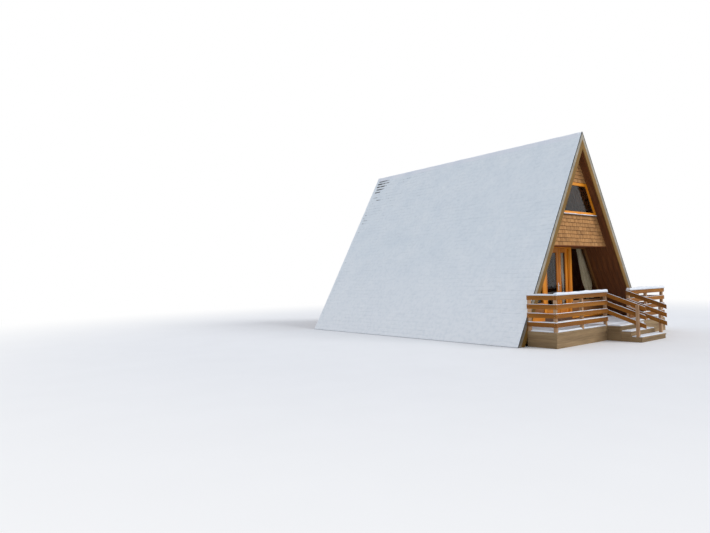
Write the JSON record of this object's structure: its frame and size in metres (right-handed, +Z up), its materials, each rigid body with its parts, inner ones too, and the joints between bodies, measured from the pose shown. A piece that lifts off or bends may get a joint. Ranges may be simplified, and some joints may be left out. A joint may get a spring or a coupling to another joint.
{
  "type": "a-frame cabin",
  "caption": "Small timber a-frame cabin with a steep covered roof to the ground, a glazed front set back in a porch, a shingled box above it, and a railed deck with steps.",
  "frame": {"origin": "centre of the foundation's underside, at ground level, midway along the roof and under the ridge", "axes": "+Z up, +Y along the ridge from the glazed front to the back, +X to the right seen from the front"},
  "size_m": [7.3, 11.45, 6.322],
  "materials": {
    "concrete": "rough cast concrete",
    "floor_boards": "planed boards",
    "rafter_wood": "sawn softwood",
    "lining_boards": "dark stained boards",
    "roof_covering": "lapped courses under thin snow",
    "verge_metal": "weathered sheet metal",
    "barge_wood": "brown stained boards",
    "frame_wood": "orange stained joinery",
    "parapet_wood": "brown stained boards",
    "threshold_wood": "brown stained timber",
    "shingle_wood": "sawn wooden shingles",
    "window_glass": "clear panes",
    "handle_metal": "pale satin metal",
    "deck_wood": "weathered decking",
    "step_wood": "weathered grey brown boards",
    "rail_wood": "orange brown stained boards",
    "curtain_cloth": "gathered khaki cloth"
  },
  "bodies": {
    "cabin": {"foundation": "concrete", "ground_floor": "floor_boards", "upper_floor": "lining_boards", "roof_left": "rafter_wood", "roof_right": "rafter_wood", "lining_left": "lining_boards", "lining_right": "lining_boards", "covering_left": "roof_covering", "covering_right": "roof_covering", "ridge_cap": "verge_metal", "verge_trims": "verge_metal", "barge_boards": "barge_wood", "threshold": "threshold_wood", "door_posts": "frame_wood", "front_header": "frame_wood", "parapets": "parapet_wood", "side_window_frames": "frame_wood", "window_glass_front": "window_glass", "shingle_panel": "shingle_wood", "upper_ledge": "threshold_wood", "upper_window_frame": "frame_wood", "upper_window_glass": "window_glass", "gable_tips": "shingle_wood", "back_wall": "parapet_wood", "back_ledge": "threshold_wood", "back_window_frames": "frame_wood", "back_window_glass": "window_glass", "deck": "deck_wood", "deck_skirt": "step_wood", "deck_bearers": "rafter_wood", "front_rail_left": "rail_wood", "front_rail_right": "rail_wood", "side_rails": "rail_wood", "stair_platform": "step_wood", "step_middle": "step_wood", "step_lowest": "step_wood", "stair_rails": "rail_wood", "curtains": "curtain_cloth"},
    "main_leaf": {"main_door": "frame_wood", "main_door_glass": "window_glass", "door_plates": "handle_metal"},
    "side_leaf": {"side_door": "frame_wood", "side_door_glass": "window_glass", "leaf_curtain": "curtain_cloth"},
    "lever": {"door_lever": "handle_metal"}
  },
  "joints": [
    {"name": "main_leaf_hinge", "type": "hinge", "parent": "cabin", "child": "main_leaf", "pos_m": [-0.657, -3.641, 0.6], "axis": [0, 0, 1], "range_deg": [0, 95]},
    {"name": "side_leaf_hinge", "type": "hinge", "parent": "cabin", "child": "side_leaf", "pos_m": [0.657, -3.641, 0.6], "axis": [0, 0, -1], "range_deg": [0, 95]},
    {"name": "lever_pivot", "type": "hinge", "parent": "main_leaf", "child": "lever", "pos_m": [0.084, -3.68, 1.575], "axis": [0, -1, 0], "range_deg": [0, 40], "stiffness_Nm_per_rad": 1, "springref_deg": -22.92}
  ]
}
